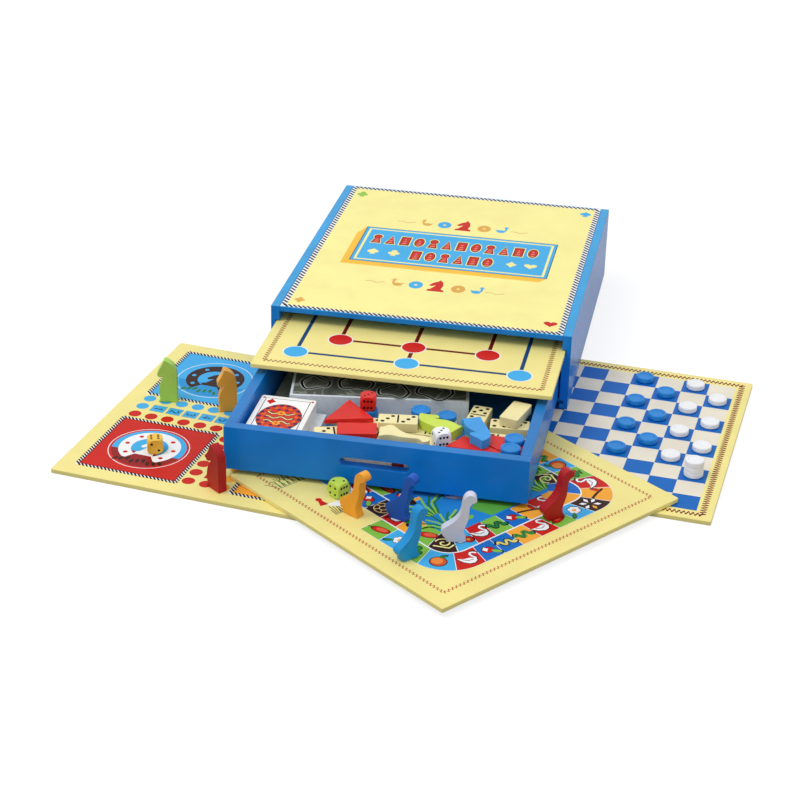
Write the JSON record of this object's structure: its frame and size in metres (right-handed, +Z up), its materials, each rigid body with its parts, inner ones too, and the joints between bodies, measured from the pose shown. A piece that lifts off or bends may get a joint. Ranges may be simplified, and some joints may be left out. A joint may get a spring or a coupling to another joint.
{
  "type": "games compendium box",
  "caption": "Lacquered wooden games case with a drawer, a pull-out board in grooves, loose boards laid round it and the playing pieces.",
  "frame": {"origin": "on the table, under the middle of the box round the whole laid-out set", "axes": "+Z up, +Y towards the back of the case, +X to the right of someone who faces the drawer"},
  "size_m": [0.6885, 0.8, 0.0922],
  "materials": {
    "blue_lacquer": "glossy blue lacquer on wood",
    "printed_board": "cream print on wooden board, satin varnish",
    "green_paint": "green paint on wood",
    "yellow_paint": "yellow paint on wood",
    "orange_paint": "orange paint on wood",
    "dark_red_paint": "dark red paint on wood",
    "bright_red_paint": "bright red paint on wood",
    "navy_paint": "dark blue paint on wood",
    "blue_paint": "blue paint on wood",
    "white_paint": "white paint on wood",
    "cream_paint": "cream paint on wood",
    "bare_wood": "bare wood with painted bands",
    "playing_card": "coated playing card",
    "white_card": "white cardboard",
    "grey_print": "dark grey print on paper",
    "booklet_paper": "uncoated paper"
  },
  "bodies": {
    "case": {"case_top_panel": "printed_board", "case_left_side": "blue_lacquer", "case_right_side": "blue_lacquer", "case_back_panel": "blue_lacquer", "case_bottom_panel": "blue_lacquer"},
    "drawer": {"drawer_front": "blue_lacquer", "drawer_left_side": "blue_lacquer", "drawer_right_side": "blue_lacquer", "drawer_back": "blue_lacquer", "drawer_floor": "blue_lacquer", "card_deck": "playing_card", "card_carton": "white_card", "white_box": "white_card", "printed_sheets": "grey_print", "rule_booklet": "booklet_paper", "dominoes": "cream_paint", "shape_puzzle": "bright_red_paint", "pick_up_sticks": "bare_wood", "spare_men_blue": "blue_paint", "spare_men_white": "white_paint", "stored_goose_cream": "cream_paint", "stored_horse_lime": "green_paint", "stored_horse_blue": "blue_paint", "stored_die_red": "bright_red_paint", "stored_die_white": "white_paint"},
    "pull_out_board": {"morris_board": "printed_board"},
    "left_board": {"horse_race_board": "printed_board"},
    "right_board": {"draughts_board": "printed_board"},
    "front_board": {"goose_board": "printed_board"},
    "horse_green": {"horse_green": "green_paint"},
    "horse_yellow": {"horse_yellow": "yellow_paint"},
    "horse_red": {"horse_red": "dark_red_paint"},
    "die_yellow": {"die_yellow": "yellow_paint"},
    "goose_orange": {"goose_orange": "orange_paint"},
    "goose_navy": {"goose_navy": "navy_paint"},
    "goose_light_blue": {"goose_light_blue": "blue_paint"},
    "goose_white": {"goose_white": "white_paint"},
    "goose_red": {"goose_red": "dark_red_paint"},
    "die_green": {"die_green": "green_paint"},
    "men_blue": {"men_blue": "blue_paint"},
    "men_white": {"men_white": "white_paint"},
    "men_white_stack": {"men_white_stack": "white_paint"}
  },
  "joints": [
    {"name": "drawer_slide", "type": "slide", "parent": "case", "child": "drawer", "axis": [0, -1, 0], "range_m": [-0.2305, 0.004]},
    {"name": "pull_out_board_slide", "type": "slide", "parent": "case", "child": "pull_out_board", "axis": [0, -1, 0], "range_m": [-0.1095, 0.19]},
    {"name": "left_board_slide", "type": "slide", "parent": "case", "child": "left_board", "axis": [-0.9914, 0.1305, 0], "range_m": [0, 0.15]},
    {"name": "right_board_slide", "type": "slide", "parent": "case", "child": "right_board", "axis": [0.9963, -0.0854, 0], "range_m": [0, 0.15]},
    {"name": "front_board_slide", "type": "slide", "parent": "case", "child": "front_board", "axis": [0.7934, -0.6088, 0], "range_m": [0, 0.12]},
    {"name": "horse_green_lift", "type": "slide", "parent": "left_board", "child": "horse_green", "axis": [0, 0, 1], "range_m": [0, 0.06]},
    {"name": "horse_yellow_lift", "type": "slide", "parent": "left_board", "child": "horse_yellow", "axis": [0, 0, 1], "range_m": [0, 0.06]},
    {"name": "horse_red_lift", "type": "slide", "parent": "left_board", "child": "horse_red", "axis": [0, 0, 1], "range_m": [0, 0.06]},
    {"name": "die_yellow_lift", "type": "slide", "parent": "left_board", "child": "die_yellow", "axis": [0, 0, 1], "range_m": [0, 0.06]},
    {"name": "goose_orange_lift", "type": "slide", "parent": "front_board", "child": "goose_orange", "axis": [0, 0, 1], "range_m": [0, 0.06]},
    {"name": "goose_navy_lift", "type": "slide", "parent": "front_board", "child": "goose_navy", "axis": [0, 0, 1], "range_m": [0, 0.06]},
    {"name": "goose_light_blue_lift", "type": "slide", "parent": "front_board", "child": "goose_light_blue", "axis": [0, 0, 1], "range_m": [0, 0.06]},
    {"name": "goose_white_lift", "type": "slide", "parent": "front_board", "child": "goose_white", "axis": [0, 0, 1], "range_m": [0, 0.06]},
    {"name": "goose_red_lift", "type": "slide", "parent": "front_board", "child": "goose_red", "axis": [0, 0, 1], "range_m": [0, 0.06]},
    {"name": "die_green_lift", "type": "slide", "parent": "front_board", "child": "die_green", "axis": [0, 0, 1], "range_m": [0, 0.06]},
    {"name": "men_blue_lift", "type": "slide", "parent": "right_board", "child": "men_blue", "axis": [0, 0, 1], "range_m": [0, 0.06]},
    {"name": "men_white_lift", "type": "slide", "parent": "right_board", "child": "men_white", "axis": [0, 0, 1], "range_m": [0, 0.06]},
    {"name": "men_white_stack_lift", "type": "slide", "parent": "right_board", "child": "men_white_stack", "axis": [0, 0, 1], "range_m": [0, 0.06]}
  ]
}
